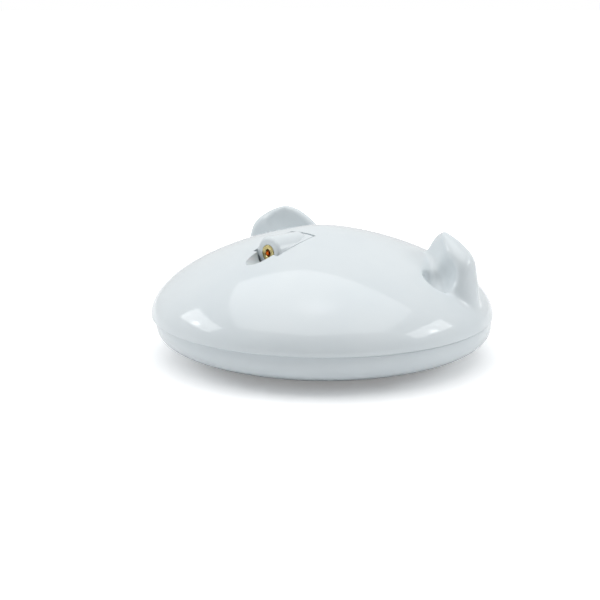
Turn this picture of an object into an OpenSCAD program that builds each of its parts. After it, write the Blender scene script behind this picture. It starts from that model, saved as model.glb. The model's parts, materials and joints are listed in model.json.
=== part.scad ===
// Automatic cat laser toy: a mouse-shaped body that turns on a small foot.
// The origin is on the floor under the spin axis, the nose points to -Y and +Z is up.

/* [Top shell] */
// How far the dome stands out past the lower shell
dome_lip = 1; // [0.8:0.1:1.4]
// Height of the dome's top above the floor
dome_top = 53.3; // [52:0.1:55]
// Height of the dome's widest ring
dome_base = 17.6; // [17.4:0.1:18.2]
// How far the dome sits towards the nose
nose_shift = 1; // [0.8:0.1:1.4]
// Wall of the top shell
top_wall = 2.3; // [2:0.1:2.6]
// Height of the joint line between the shells
seam_z = 17; // [16.6:0.1:17.2]
// Width of the joint line
seam_gap = 0.3; // [0.2:0.05:0.4]

/* [Ears] */
// Distance of the ear's tip from the dome's widest ring
ear_inset = 25.9; // [25:0.1:27]
// Distance of the ear's tip behind the spin axis
ear_behind = 21.5; // [20.5:0.1:22.5]
// Height of the ear's tip
ear_tip = 54.2; // [53.5:0.1:55]
// Half the thickness of the ear's rim
ear_rim = 1.7; // [1.5:0.1:1.9]
// How much the ear's outer side grows in radius towards the dome
ear_flank = 8; // [6.5:0.5:8.5]
// How far the ear's outer side reaches out past its tip
ear_reach = 17.8; // [16.5:0.1:18]
// How much the ear's outer side spreads for each millimetre near its foot
ear_spread = 0.38; // [0.34:0.01:0.4]
// Turn of the scoop in front of the ear, in plan
ear_turn = 19.5; // [18:0.5:21]
// Half the length of the scoop in front of the ear
scoop_length = 7.8; // [7.2:0.1:8.4]
// Half the width of the scoop in front of the ear
scoop_width = 5.8; // [5.4:0.1:6.2]
// Depth of the scoop below its middle
scoop_depth = 8; // [7.6:0.1:8.4]

/* [Lower shell] */
// Radius of the lower shell at the joint line
seam_r = 70; // [69.6:0.1:70.2]
// Distance of the flat belly's edge inside the joint line
belly_inset = 20.7; // [19:0.1:22]
// Height of the belly above the floor
belly_z = 2.2; // [2:0.1:2.4]
// Wall of the lower shell
low_wall = 2.2; // [1.8:0.1:2.4]

/* [Foot] */
// Radius of the foot
foot_r = 24; // [22:0.5:25]
// Radius of the bearing post
post_r = 6; // [5.6:0.1:6.6]
// Running clearance between the post and its bore
run_gap = 0.06; // [0.03:0.01:0.09]
// Thickness of the rubber pad that stands out of the foot
pad_drop = 1.2; // [1:0.1:1.4]

/* [Laser] */
// Height of the laser's front opening
laser_z = 46; // [45.6:0.1:46.4]
// Distance of the laser's front opening from the spin axis
laser_y = 31.5; // [31:0.1:32]
// Radius of the brass laser barrel
barrel_r = 3.25; // [3:0.05:3.4]
// Outer radius of the round nose of the hood
hood_r = 6.6; // [6.3:0.1:6.7]
// Half the width of the hood where it lies flush in the dome
hood_half = 6.7; // [6.6:0.1:6.9]
// Gap beside the hood
hood_gap = 0.4; // [0.3:0.05:0.6]
// Distance of the hood's rear end from the spin axis
hood_rear = 12.9; // [12.5:0.1:13.3]
// Length of the scoop in front of the hood's slot
beam_scoop_length = 12; // [11:0.5:12.5]

/* [Button] */
// Radius of the power button
button_r = 5.5; // [5:0.1:6]
// Distance of the power button from the dome's rear end
button_inset = 23; // [22:0.5:24]
// Clearance round the power button
button_gap = 0.1; // [0.06:0.02:0.2]

/* [Gears] */
// Module of the gears
gear_module = 0.5; // [0.48:0.01:0.5]
// Teeth of the fixed hub gear, and of each wheel and pinion from there to the motor
gear_teeth = [48, 12, 40, 10, 36, 10];
// Play between teeth, along the pitch circle
gear_play = 0.08; // [0.04:0.01:0.12]
// Radius of the gear axles
axle_r = 1; // [0.9:0.05:1.1]

/* [Power] */
// Radius of a battery cell
cell_r = 5.25; // [5.1:0.05:5.3]
// Length of a battery cell
cell_length = 44.5; // [43.5:0.1:44.5]
// Radius of the motor's can
motor_r = 12.2; // [11.8:0.1:12.4]
// Height of the motor's can
motor_h = 12.3; // [11:0.1:13]

/* [Hidden] */
$fn = 48;
snug = 0.02; // clearance of pieces that are fixed to each other
dome_round = 1.45; // how the dome's radius closes towards its top
dome_crown = 1.07; // how the dome's height rises towards its top
belly_round = 3.73; // how the lower shell's side turns up
shell_white = [0.93, 0.94, 0.95];

// ---- outlines of the shells ----
dome_r = seam_r + dome_lip;
belly_r = seam_r - belly_inset;
dome_steps = 30;
belly_steps = 18;
lip_drop = dome_base - seam_z - seam_gap / 2;

function dome_points(wall) = [
  for (i = [0:dome_steps]) let (t = 90 * i / dome_steps)
    [(dome_r - wall) * pow(cos(t), dome_round),
     dome_base + (dome_top - wall - dome_base) * pow(sin(t), dome_crown)]
];

function belly_points(wall) = [
  for (i = [0:belly_steps]) let (u = i / belly_steps)
    [belly_r - wall * 0.6 + (seam_r - belly_r - wall * 0.4) * (1 - pow(1 - u, belly_round)),
     belly_z + wall + (seam_z - seam_gap / 2 - belly_z - wall) * u]
];

// Height of the dome's outer surface over a point of the plan
function dome_height(x, y) = let (k = pow(norm([x, y + nose_shift]) / dome_r, 1 / dome_round))
  dome_base + (dome_top - dome_base) * pow(sqrt(1 - k * k), dome_crown);

// The solid under the dome's outer surface, less a wall
module dome_solid(wall = 0, low = seam_z + seam_gap / 2) {
  translate([0, -nose_shift, 0])
    rotate_extrude()
      polygon(concat([[0, low], [dome_r - wall - (wall == 0 ? lip_drop : 0), low]], dome_points(wall)));
}

// The solid inside the lower shell's outer surface, less a wall
module belly_solid(wall = 0) {
  rotate_extrude()
    polygon(concat([[0, belly_z + wall]], belly_points(wall), [[0, seam_z - seam_gap / 2]]));
}

// ---- places shared by several pieces ----
case_screw_r = seam_r - 12.5;
case_screw_places = [for (a = [-22, 38, 142, 202]) case_screw_r * [cos(a), sin(a)]];
screw_pilot_r = 1.32;
screw_shank_r = 1.3;
case_head_seat = 9;
case_post_top = 14.5;
foot_top = pad_drop + 2.4;
thrust_h = 0.5;
recess_z = foot_top + thrust_h + 0.05; // ceiling of the foot's recess in the belly
recess_gap = 0.6;
hub_floor = recess_z + low_wall;
hub_gear_z = 9.2;
hub_boss_top = hub_gear_z - 0.15;
hub_gear_h = 3;
key_r = post_r - 1;
key_half = key_r * 0.84;
plate_z = 19;
plate_h = 2;

// ---- gear train ----
pressure_angle = 25;
gear_angles = [-75, -115, -60]; // direction of each next axis in plan

function pitch_r(teeth) = gear_module * teeth / 2;
gear_steps = [pitch_r(gear_teeth[0] + gear_teeth[1]), pitch_r(gear_teeth[2] + gear_teeth[3]),
  pitch_r(gear_teeth[4] + gear_teeth[5])];
function step_to(from, length, angle) = from + length * [cos(angle), sin(angle)];
second_axis = step_to([0, 0], gear_steps[0], gear_angles[0]);
first_axis = step_to(second_axis, gear_steps[1], gear_angles[1]);
motor_axis = step_to(first_axis, gear_steps[2], gear_angles[2]);
motor_screw_r = 8;

// Involute flank of a tooth, from the root to the tip
function involute_turn(r, base) = r <= base ? 0 : let (a = acos(base / r)) tan(a) * 180 / PI - a;
function half_tooth(teeth, r) = let (p = pitch_r(teeth), base = p * cos(pressure_angle))
  (90 - gear_play / p * 45 / PI * 2) / teeth
    + involute_turn(p, base) - involute_turn(max(r, base), base);
function gear_radii(teeth) = let (p = pitch_r(teeth), low = p - 1.15 * gear_module,
    high = p + 0.9 * gear_module)
  [for (i = [0:4]) low + (high - low) * i / 4];
function gear_outline(teeth) = [
  for (k = [0:teeth - 1], side = [-1, 1], i = [0:4])
    let (r = gear_radii(teeth)[side < 0 ? i : 4 - i], a = 360 * k / teeth + side * half_tooth(teeth, r))
      r * [cos(a), sin(a)]
];

module gear(teeth, height, turn = 0) {
  rotate(turn)
    linear_extrude(height)
      polygon(gear_outline(teeth));
}

module at_xy(place, z = 0) {
  translate([place[0], place[1], z])
    children();
}

// A plain pan-head screw that points up, with its head's seat at z = 0
module screw_up(shank_r, length, head_r, head_h) {
  cylinder(r = shank_r, h = length);
  translate([0, 0, -head_h])
    cylinder(r = head_r, h = head_h);
}

// The same screw pointing down
module screw_down(shank_r, length, head_r, head_h) {
  rotate([180, 0, 0])
    screw_up(shank_r, length, head_r, head_h);
}

// A round bar between two points
module rod(from, to, r) {
  run = to - from;
  translate(from)
    rotate([0, acos(run[2] / norm(run)), atan2(run[1], run[0])])
      cylinder(r = r, h = norm(run));
}

// A wire along a list of points, with round bends
module wire(points, r) {
  for (i = [0:len(points) - 2])
    rod(points[i], points[i + 1], r);
  for (i = [1:len(points) - 2])
    translate(points[i])
      sphere(r = r * 1.06, $fn = 32);
}

// ---- foot, which stays still ----
pad_r = foot_r - 2.5;
pad_seat = 0.4;

module foot_pad() {
  groove_count = 3;
  color([0.2, 0.2, 0.21])
    difference() {
      cylinder(r = pad_r, h = pad_drop + pad_seat);
      for (i = [1:groove_count])
        translate([0, 0, -1])
          difference() {
            cylinder(r = pad_r * (0.3 + 0.2 * i) + 0.5, h = 1.4);
            translate([0, 0, -1])
              cylinder(r = pad_r * (0.3 + 0.2 * i) - 0.5, h = 4);
          }
    }
}

module keyed_post(r, half, height) {
  intersection() {
    cylinder(r = r, h = height);
    translate([-half, -r, 0])
      cube([2 * half, 2 * r, height]);
  }
}

module turntable_foot() {
  color([0.85, 0.86, 0.87])
    difference() {
      union() {
        translate([0, 0, pad_drop])
          rotate_extrude()
            polygon([[0, 0], [foot_r - 0.8, 0], [foot_r, 0.8], [foot_r, foot_top - pad_drop],
              [0, foot_top - pad_drop]]);
        translate([0, 0, foot_top])
          cylinder(r = post_r, h = hub_gear_z - foot_top);
        translate([0, 0, hub_gear_z])
          keyed_post(key_r, key_half, hub_gear_h - 0.1);
      }
      translate([0, 0, -1])
        cylinder(r = pad_r + snug, h = 1 + pad_drop + pad_seat);
      translate([0, 0, 3])
        cylinder(r = screw_pilot_r, h = 20);
    }
}

module thrust_ring() {
  color([0.95, 0.93, 0.86])
    translate([0, 0, foot_top])
      difference() {
        cylinder(r = 14, h = thrust_h);
        translate([0, 0, -1])
          cylinder(r = post_r + 0.3, h = thrust_h + 2);
      }
}

module hub_gear() {
  color([0.95, 0.93, 0.86])
    translate([0, 0, hub_gear_z])
      difference() {
        gear(gear_teeth[0], hub_gear_h, gear_angles[0]);
        translate([0, 0, -1])
          keyed_post(key_r + snug, key_half + snug, hub_gear_h + 2);
      }
}

washer_h = 0.5;

module hub_washer() {
  color("silver")
    translate([0, 0, hub_gear_z + hub_gear_h])
      difference() {
        cylinder(r = key_r + 1.6, h = washer_h);
        translate([0, 0, -1])
          cylinder(r = screw_shank_r + 0.1, h = washer_h + 2);
      }
}

module hub_screw() {
  color("silver")
    translate([0, 0, hub_gear_z + hub_gear_h + washer_h])
      difference() {
        screw_down(screw_shank_r, 9, 2.7, 1.6);
        translate([0, 0, 0.9])
          cross_slot(1.6);
      }
}

// A cross recess, cut up from z = 0
module cross_slot(half) {
  for (turn = [0, 90])
    rotate(turn)
      translate([-half, -0.3, 0])
        cube([2 * half, 0.6, 2]);
}

// ---- lower shell ----
cell_pitch = 2 * cell_r + 0.3;
cell_rows = [-1, 0, 1];
cells_y = 43.9;
cell_z = 12.7;
contact_room = 4.2;
box_half_x = cell_length / 2 + contact_room;
box_y = [cells_y - 1.5 * cell_pitch - 0.1, cells_y + 1.5 * cell_pitch + 0.1];
box_top = cell_z + cell_r + 0.3;
box_wall = 1.2;
door_half_x = 23;
door_y = [box_y[0] + 1.6, box_y[1] - 1.6];
door_ledge = 1.4;
door_gap = 0.25;
door_lug_y = seam_r - 6;
door_lug_r = 3.6;
door_lug_top = 10.2;
door_seat_z = 8.6;
board_z = 24;
board_h = 1.6;
board_half_x = 22;
board_y = [29, 56];
board_screw_places = [[18, 32.5], [-18, 32.5], [18, 52.5], [-18, 52.5]];
plate_posts = [[18.5, -18], [-14, -17], [-12, -41], [20, -44]];
tongue_r = seam_r - 2.5;
tongue_wall = 1.4;

module tube(outer, inner, low, high) {
  translate([0, 0, low])
    difference() {
      cylinder(r = outer, h = high - low);
      translate([0, 0, -1])
        cylinder(r = inner, h = high - low + 2);
    }
}

module box_between(low, high) {
  translate(low)
    cube(high - low);
}

// The battery door's place: a thin outer part on a ledge, and a thick inner part
module door_form(gap) {
  difference() {
    intersection() {
      belly_solid();
      union() {
        box_between([-door_half_x - door_ledge + gap, door_y[0] - door_ledge + gap, 0],
          [door_half_x + door_ledge - gap, door_y[1] + door_ledge - gap, 12]);
        door_lug(gap);
      }
    }
    difference() {
      belly_solid(low_wall / 2);
      box_between([-door_half_x + gap, door_y[0] + gap, 0], [door_half_x - gap, door_y[1] - gap, 12]);
      door_lug(gap);
    }
    difference() {
      belly_solid(low_wall);
      door_lug(gap);
    }
  }
}

module door_lug(gap) {
  reach = door_lug_r - gap;
  at_xy([0, door_lug_y])
    cylinder(r = reach, h = door_lug_top - gap);
  box_between([-reach * 0.8, door_y[1] - 2, 0], [reach * 0.8, door_lug_y, door_lug_top - gap]);
}

// The two tongues that hold the door's inner end
module door_tongues(gap) {
  for (side = [-1, 1])
    translate([side * door_half_x * 0.55, 0, 0])
      box_between([-3 - gap, door_y[0] - 2.6 - gap, belly_z + low_wall + 0.15 - gap],
        [3 + gap, door_y[0] + 3, belly_z + low_wall + 1.5 + gap]);
}

module lower_shell_inside() {
  tube(foot_r + recess_gap + low_wall, post_r + run_gap, belly_z, hub_floor);
  tube(post_r + 3, post_r + run_gap, hub_floor - 1, hub_boss_top);
  at_xy(second_axis, belly_z)
    cylinder(r = 3, h = 8.8 - belly_z);
  at_xy(first_axis, belly_z)
    cylinder(r = 3, h = 12 - belly_z);
  for (place = plate_posts)
    at_xy(place, belly_z)
      cylinder(r = 2.6, h = plate_z - belly_z);
  difference() {
    box_between([-box_half_x - box_wall, box_y[0] - box_wall, belly_z],
      [box_half_x + box_wall, box_y[1] + box_wall, seam_z - 1]);
    box_between([-box_half_x, box_y[0], 0], [box_half_x, box_y[1], 30]);
  }
  at_xy([0, door_lug_y], belly_z)
    cylinder(r = door_lug_r + 1.2, h = 13);
}

module case_post(low, high) {
  for (place = case_screw_places)
    at_xy(place, low)
      cylinder(r = 3.6, h = high - low);
}

module lower_shell() {
  color(shell_white)
    difference() {
      union() {
        difference() {
          belly_solid();
          belly_solid(low_wall);
        }
        tube(tongue_r, tongue_r - tongue_wall, seam_z - 3, seam_z + 1.6);
        // the tongue's root, which joins it to the wall
        tube(tongue_r + 1, tongue_r - tongue_wall, seam_z - 3, seam_z - seam_gap / 2);
        intersection() {
          belly_solid();
          union() {
            lower_shell_inside();
            case_post(belly_z, case_post_top);
          }
        }
        // upper part of the battery box, above the joint line
        difference() {
          box_between([-box_half_x - box_wall, box_y[0] - box_wall, seam_z - 2],
            [box_half_x + box_wall, box_y[1] + box_wall, box_top + box_wall]);
          box_between([-box_half_x, box_y[0], 0], [box_half_x, box_y[1], box_top]);
        }
        for (place = plate_posts)
          at_xy(place, 10)
            cylinder(r = 2.6, h = plate_z - 10);
        for (place = board_screw_places)
          at_xy(place, box_top)
            cylinder(r = 2.2, h = board_z - box_top);
      }
      // foot recess and bearing bore
      cylinder(r = foot_r + recess_gap, h = recess_z);
      cylinder(r = post_r + run_gap, h = 20);
      door_form(0);
      door_tongues(0.15);
      at_xy([0, door_lug_y])
        cylinder(r = screw_pilot_r, h = 15);
      for (place = case_screw_places) {
        at_xy(place)
          cylinder(r = 3, h = case_head_seat);
        at_xy(place)
          cylinder(r = screw_shank_r + 0.3, h = 20);
      }
      for (place = [second_axis, first_axis])
        at_xy(place, 6.8)
          cylinder(r = axle_r + 0.01, h = 10);
      for (place = plate_posts)
        at_xy(place, 11)
          cylinder(r = screw_pilot_r, h = 10);
      for (place = board_screw_places)
        at_xy(place, box_top + box_wall)
          cylinder(r = 0.92, h = 10);
      cell_room();
    }
}

module battery_door() {
  color(shell_white)
    difference() {
      union() {
        door_form(door_gap);
        door_tongues(0);
        box_between([-door_half_x * 0.8, door_y[0] + 1, belly_z + low_wall - 0.6],
          [door_half_x * 0.8, door_y[0] + 3, belly_z + low_wall + 0.8]);
      }
      at_xy([0, door_lug_y])
        cylinder(r = 2.9, h = door_seat_z);
      at_xy([0, door_lug_y])
        cylinder(r = screw_shank_r + 0.2, h = 20);
      cell_room();
    }
}

module battery_door_screw() {
  color("silver")
    at_xy([0, door_lug_y], door_seat_z)
      screw_up(screw_shank_r, 6, 2.6, 1.6);
}

module case_screws() {
  color("silver")
    for (place = case_screw_places)
      at_xy(place, case_head_seat)
        screw_up(screw_shank_r, 12, 2.7, 1.8);
}

// ---- top shell ----
ear_side = 40;
ear_drops = [0.02, 0.15, 0.4, 0.8, 1.4, 2.2, 3.2, 4.6, 6.4, 8.6, 11, 13.6, 16.6, 20, 24, 28];

// Place of a point of the right ear: along its scoop, across it and up
module in_ear_frame(side) {
  mirror([side < 0 ? 1 : 0, 0, 0])
    rotate(-ear_turn)
      children();
}

// Rises with t and levels out at 1, the more sharply the higher n is
function level_out(t, n) = t / pow(1 + pow(t, n), 1 / n);

// The ear's level outline at a drop below its tip spans two circles, each [x, y, radius]
function ear_edge(drop) = level_out(sqrt(drop / 2.2), 6); // rounds the ear's upper edge
function ear_foot(drop) = ear_spread / 2 * (norm([drop - 13, 4]) - norm([drop - 22, 4]) + 9);
function ear_outer(drop) = let (r = ear_rim + ear_flank * pow(level_out(drop / 18, 6), 0.9),
    out = 1 - pow(1 - level_out(drop / 13, 8), 1.9))
  [dome_r - ear_inset + 2.4 + ear_reach * out - 1.41 * r + ear_foot(drop),
   ear_behind - 3 * level_out(drop / 13, 3), r * ear_edge(drop)];
function ear_inner(drop) = [dome_r - ear_inset + 2.5 - 3.3 * pow(drop, 0.578),
  ear_behind + 0.4 + 1.95 * pow(drop, 0.578), (ear_rim + 0.1 * drop) * ear_edge(drop)];

function ear_ring(drop) = [
  for (i = [0:ear_side - 1])
    let (dir = [cos(360 * i / ear_side), sin(360 * i / ear_side)],
      a = ear_outer(drop), b = ear_inner(drop),
      pick = dir * [a[0], a[1]] + a[2] > dir * [b[0], b[1]] + b[2] ? a : b)
      [pick[0] + pick[2] * dir[0], pick[1] + pick[2] * dir[1], ear_tip - drop]
];

module ear_solid() {
  rings = len(ear_drops);
  points = [for (drop = ear_drops) each ear_ring(drop)];
  sides = [for (k = [0:rings - 2], i = [0:ear_side - 1]) let (j = (i + 1) % ear_side)
    each [[k * ear_side + i, k * ear_side + j, (k + 1) * ear_side + i],
          [k * ear_side + j, (k + 1) * ear_side + j, (k + 1) * ear_side + i]]];
  top = [for (i = [1:ear_side - 2]) [0, i + 1, i]];
  bottom = [for (i = [1:ear_side - 2]) let (n = (rings - 1) * ear_side) [n, n + i, n + i + 1]];
  polyhedron(points, concat(sides, top, bottom));
}

// The hollow in front of an ear
scoop_at = [dome_r - 23.5, ear_behind + 5.5, ear_tip - 13.9];
scoop_tilt = 28;
module ear_scoop(grow = 0) {
  translate(scoop_at)
    rotate([0, scoop_tilt, 0])
      scale([scoop_length + grow, scoop_width + grow, scoop_depth + grow])
        sphere(r = 1, $fn = 40);
}

slot_half = hood_half + hood_gap;
slot_rear = hood_rear - 1;
slot_front = laser_y + 1.6;
slot_floor = 36.5;
slot_wall = 2.2;
pivot_y = -17;
pivot_z = 39.8;
pin_r = 1;
beam_scoop_half = 4.6;
beam_scoop_depth = 5.4;
button_y = dome_r - nose_shift - button_inset;
button_collar = 1.7;
flange_r = button_r + 1.3;
button_stop = dome_height(0, button_y + flange_r) - top_wall - 0.56;

module hood_slot() {
  box_between([-slot_half, -slot_front, slot_floor], [slot_half, -slot_rear, dome_top + 10]);
  beam_scoop();
}

// The scoop that leaves the beam free in front of the slot
module beam_scoop(grow = 0) {
  translate([0, -slot_front, laser_z])
    scale([beam_scoop_half + grow, beam_scoop_length + grow, beam_scoop_depth + grow])
      sphere(r = 1, $fn = 40);
}

module top_shell_inside() {
  box_between([-slot_half - slot_wall, -slot_front - slot_wall, slot_floor - slot_wall],
    [slot_half + slot_wall, -slot_rear + slot_wall, dome_top]);
  beam_scoop(slot_wall);
  for (place = case_screw_places)
    at_xy(place, case_post_top + 0.2)
      cylinder(r = 3.2, h = 30);
  at_xy([0, button_y], button_stop)
    cylinder(r = button_r + button_collar, h = 20);
  for (side = [-1, 1])
    in_ear_frame(side)
      ear_scoop(top_wall);
}

module top_shell() {
  color(shell_white)
    difference() {
      union() {
        difference() {
          dome_solid();
          dome_solid(top_wall, seam_z - 2);
        }
        intersection() {
          dome_solid(0.3, 10);
          top_shell_inside();
        }
        for (side = [-1, 1])
          intersection() {
            mirror([side < 0 ? 1 : 0, 0, 0])
              ear_solid();
            ear_over_shell();
          }
      }
      for (side = [-1, 1])
        in_ear_frame(side)
          ear_scoop();
      hood_slot();
      translate([0, -slot_rear + slot_wall + 1, laser_z])
        rotate([90, 0, 0])
          cylinder(r = 1.8, h = 6);
      translate([-20, pivot_y, pivot_z])
        rotate([0, 90, 0])
          cylinder(r = pin_r + 0.03, h = 40);
      at_xy([0, button_y])
        cylinder(r = button_r + button_gap, h = 60);
      for (place = case_screw_places)
        at_xy(place)
          cylinder(r = screw_pilot_r, h = 24);
    }
}

// Room for the ears: everything above the inner face of the dome
module ear_over_shell() {
  difference() {
    translate([0, 0, dome_base])
      cylinder(r = dome_r + 5, h = 50);
    dome_solid(top_wall - 0.5, dome_base - 5);
  }
}

// ---- laser tube, which tilts in the top shell ----
hood_length = 18.4;
module in_laser_frame() {
  translate([0, -laser_y, laser_z])
    rotate([-90, 0, 0])
      children();
}

module laser_hood() {
  edge = 1.6;
  rear_edge = 2.4;
  color(shell_white)
    difference() {
      union() {
        in_laser_frame()
          rotate_extrude()
            polygon(concat([[0, 0]],
              [for (a = [0:15:90]) [hood_r - edge + edge * sin(a), edge - edge * cos(a)]],
              [for (a = [0:15:90]) [hood_r - rear_edge + rear_edge * cos(a),
                hood_length - rear_edge + rear_edge * sin(a)]],
              [[0, hood_length]]));
        intersection() {
          dome_solid(0, 10);
          box_between([-hood_half, -laser_y + 0.4, laser_z - 1.6], [hood_half, -hood_rear, dome_top]);
        }
        box_between([-hood_r + 0.6, pivot_y - 2.6, pivot_z - 2.4], [hood_r - 0.6, pivot_y + 2.6, laser_z]);
      }
      in_laser_frame() {
        translate([0, 0, -1])
          cylinder(r = barrel_r + snug, h = 16);
        cylinder(r = 1.8, h = 30);
      }
      translate([-20, pivot_y, pivot_z])
        rotate([0, 90, 0])
          cylinder(r = pin_r + 0.01, h = 40);
    }
}

barrel_proud = 0.3;
aperture_r = 1.45;
module laser_barrel() {
  color([0.85, 0.65, 0.3])
    in_laser_frame()
      rotate_extrude()
        polygon([[aperture_r, 0.3 - barrel_proud], [aperture_r + 0.3, -barrel_proud],
          [barrel_r - 0.35, -barrel_proud], [barrel_r, 0.35 - barrel_proud], [barrel_r, 14],
          [barrel_r - 0.8, 14], [barrel_r - 0.8, 2], [aperture_r, 2]]);
}

module laser_lens() {
  color([0.75, 0.1, 0.08])
    in_laser_frame()
      translate([0, 0, 2.02])
        intersection() {
          cylinder(r = barrel_r - 0.82, h = 1.6);
          translate([0, 0, 4])
            sphere(r = 4);
        }
}

module laser_diode() {
  color("silver")
    in_laser_frame() {
      translate([0, 0, 7])
        cylinder(r = 1.6, h = 2.2);
      translate([0, 0, 9.2])
        cylinder(r = barrel_r - 0.82, h = 1);
    }
}

module diode_board() {
  color([0.1, 0.4, 0.2])
    in_laser_frame()
      translate([0, 0, 11])
        cylinder(r = barrel_r - 0.82, h = 1);
}

pin_half = slot_half + slot_wall + 0.9;
module hood_pivot_pin() {
  color("silver")
    translate([0, pivot_y, pivot_z])
      rotate([0, 90, 0]) {
        translate([0, 0, -pin_half])
          cylinder(r = pin_r, h = 2 * pin_half);
        translate([0, 0, -pin_half])
          cylinder(r = 1.9, h = 0.7);
      }
}

module pivot_clip() {
  color([0.3, 0.3, 0.32])
    translate([pin_half - 0.75, pivot_y, pivot_z])
      rotate([0, 90, 0])
        tube(1.9, pin_r + 0.01, 0, 0.5);
}

// ---- power button ----
plunger_top = 31;
flange_h = 1.3;
flange_z = button_stop - 0.2 - flange_h;
module power_button() {
  color([0.82, 0.84, 0.86])
    intersection() {
      dome_solid(0, 10);
      at_xy([0, button_y]) {
        translate([0, 0, flange_z])
          cylinder(r = button_r, h = 20);
        translate([0, 0, flange_z])
          cylinder(r = flange_r, h = flange_h);
        translate([0, 0, plunger_top])
          cylinder(r = 2, h = flange_z - plunger_top + flange_h);
      }
    }
}

switch_top = 29.2;
module switch_plunger() {
  color([0.15, 0.15, 0.15])
    at_xy([0, button_y], switch_top - 0.6)
      cylinder(r = 1.7, h = plunger_top - switch_top + 0.6);
}

module tact_switch() {
  color([0.25, 0.25, 0.27])
    difference() {
      box_between([-3, button_y - 3, board_z + board_h], [3, button_y + 3, switch_top]);
      at_xy([0, button_y], switch_top - 2.1)
        cylinder(r = 1.75, h = 5);
    }
}

// ---- electronics and power ----
module circuit_board() {
  color([0.1, 0.42, 0.22])
    difference() {
      box_between([-board_half_x, board_y[0], board_z], [board_half_x, board_y[1], board_z + board_h]);
      for (place = board_screw_places)
        at_xy(place)
          cylinder(r = 1.1, h = 60);
    }
}

module board_screws() {
  color("silver")
    for (place = board_screw_places)
      at_xy(place, board_z + board_h)
        screw_down(0.9, 5, 1.8, 1.2);
}

module control_chip() {
  color([0.12, 0.12, 0.13])
    box_between([-13, 38, board_z + board_h], [-5, 43, board_z + board_h + 1.5]);
}

module smoothing_capacitor() {
  color([0.2, 0.25, 0.45])
    at_xy([11, 38], board_z + board_h)
      cylinder(r = 2.5, h = 6);
}

module at_cells() {
  for (row = cell_rows)
    translate([0, cells_y + row * cell_pitch, cell_z])
      mirror([row == 0 ? 1 : 0, 0, 0])
        rotate([0, 90, 0])
          children();
}

// Room for the cells where the shell and the door come near them
module cell_room() {
  at_cells()
    cylinder(r = cell_r + 0.25, h = cell_length + 2, center = true);
}

module battery_cells() {
  color([0.25, 0.5, 0.3])
    at_cells()
      translate([0, 0, -cell_length / 2]) {
        cylinder(r = cell_r, h = cell_length - 1);
        cylinder(r = 1.9, h = cell_length);
      }
}

plate_thin = 0.4;
spring_turns = 3;
module battery_springs() {
  color("silver")
    at_cells()
      translate([0, 0, -box_half_x + plate_thin])
        linear_extrude(contact_room - plate_thin, twist = -360 * spring_turns, scale = 0.6,
          slices = 16 * spring_turns, $fn = 8)
          translate([3.4, 0])
            circle(r = 0.45, $fn = 8);
}

module battery_contacts() {
  color([0.8, 0.8, 0.78])
    for (side = [-1, 1])
      at_cells()
        translate([0, 0, side * (box_half_x - plate_thin / 2)])
          intersection() {
            cube([9, 9, plate_thin], center = true);
            cylinder(r = 5, h = 5, center = true);
          }
  color([0.8, 0.8, 0.78])
    at_cells()
      translate([0, 0, cell_length / 2])
        cylinder(r = 1.6, h = contact_room - plate_thin);
}

// ---- motor and reduction gears ----
module gear_plate() {
  color([0.8, 0.81, 0.83])
    difference() {
      translate([0, 0, plate_z])
        linear_extrude(plate_h)
          hull()
            for (place = plate_posts)
              translate(place)
                circle(r = 4);
      for (place = [second_axis, first_axis])
        at_xy(place, plate_z - 1)
          cylinder(r = axle_r + 0.01, h = 2.6);
      for (place = plate_posts)
        at_xy(place)
          cylinder(r = screw_shank_r + 0.2, h = 60);
      at_xy(motor_axis)
        cylinder(r = 3.1, h = 60);
      for (place = motor_screw_places)
        at_xy(place)
          cylinder(r = 1.15, h = 60);
    }
}

motor_screw_places = [for (a = [0, 240]) step_to(motor_axis, motor_screw_r, a)];
motor_z = plate_z + plate_h;

module gear_plate_screws() {
  color("silver")
    for (place = plate_posts)
      at_xy(place, motor_z)
        screw_down(screw_shank_r, 8, 2.4, 1.6);
}

module gear_axles() {
  color("silver")
    for (place = [second_axis, first_axis])
      at_xy(place, 6.9)
        cylinder(r = axle_r, h = plate_z + 1.5 - 6.9);
}

module axle_hole(place) {
  at_xy(place)
    cylinder(r = axle_r + 0.05, h = 40);
}

wheel_root = 0.5; // how far a pinion runs into its wheel
second_wheel_z = 13;
first_wheel_z = 16;
module intermediate_gear() {
  color([0.95, 0.93, 0.86])
    difference() {
      at_xy(second_axis) {
        translate([0, 0, 9])
          gear(gear_teeth[1], second_wheel_z - 9 + wheel_root, gear_angles[0] + 180 + 180 / gear_teeth[1]);
        translate([0, 0, second_wheel_z])
          gear(gear_teeth[2], 2, gear_angles[1]);
        translate([0, 0, second_wheel_z + 1])
          cylinder(r = 1.9, h = plate_z - second_wheel_z - 1.2);
      }
      axle_hole(second_axis);
    }
}

module reduction_gear() {
  color([0.95, 0.93, 0.86])
    difference() {
      at_xy(first_axis) {
        translate([0, 0, 12.2])
          gear(gear_teeth[3], first_wheel_z - 12.2 + wheel_root, gear_angles[1] + 180 + 180 / gear_teeth[3]);
        translate([0, 0, first_wheel_z])
          gear(gear_teeth[4], 2, gear_angles[2]);
        translate([0, 0, first_wheel_z + 1])
          cylinder(r = 1.9, h = plate_z - first_wheel_z - 1.2);
      }
      axle_hole(first_axis);
    }
}

shaft_r = 1;
module motor_pinion() {
  color([0.85, 0.7, 0.4])
    difference() {
      at_xy(motor_axis, first_wheel_z - 0.3)
        gear(gear_teeth[5], 2.6, gear_angles[2] + 180 + 180 / gear_teeth[5]);
      at_xy(motor_axis)
        cylinder(r = shaft_r + 0.01, h = 40);
    }
}

module motor_shaft() {
  color("silver")
    at_xy(motor_axis, first_wheel_z - 0.5)
      cylinder(r = shaft_r, h = 12);
}

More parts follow.
